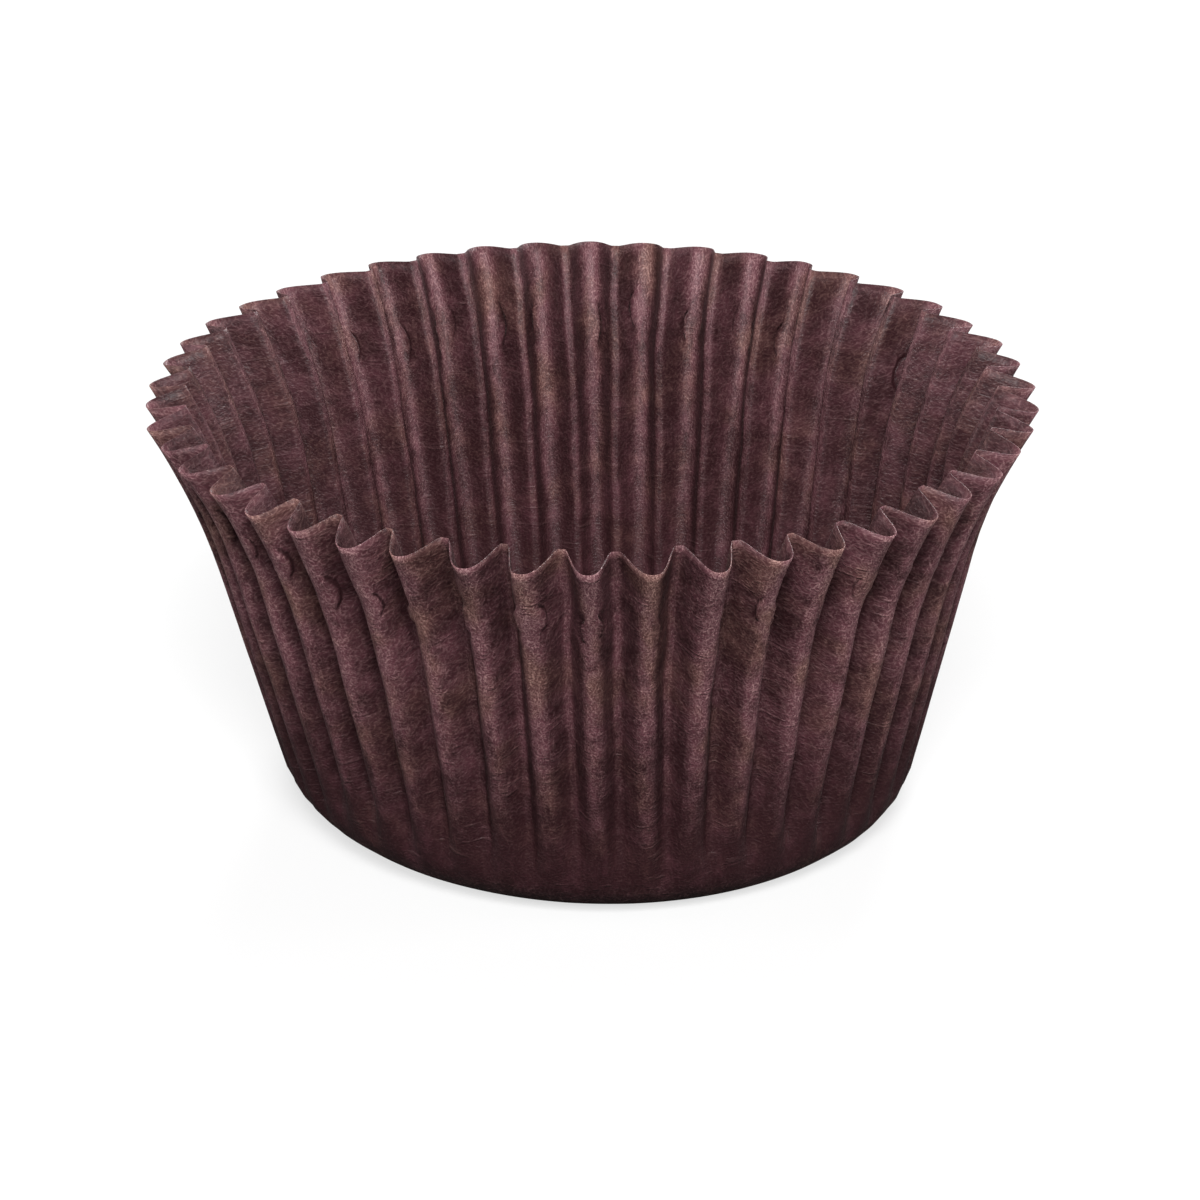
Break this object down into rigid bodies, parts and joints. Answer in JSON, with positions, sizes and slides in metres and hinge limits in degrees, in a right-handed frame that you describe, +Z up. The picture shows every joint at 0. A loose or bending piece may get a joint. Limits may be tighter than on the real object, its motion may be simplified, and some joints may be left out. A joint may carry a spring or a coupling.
{
  "type": "cupcake liner",
  "caption": "Pleated paper cupcake liner: a flat round base with a flared wall of narrow radial pleats, in dark brown greaseproof paper.",
  "frame": {"origin": "centre of the underside of the flat base", "axes": "+Z up through the mouth; one outer fold of the wall points along -Y"},
  "size_m": [0.0758, 0.076, 0.0369],
  "materials": {
    "brown_greaseproof": "matt, fibrous, a little translucent, with a dull sheen on the folds"
  },
  "bodies": {
    "root": {"liner": "brown_greaseproof"}
  },
  "joints": []
}
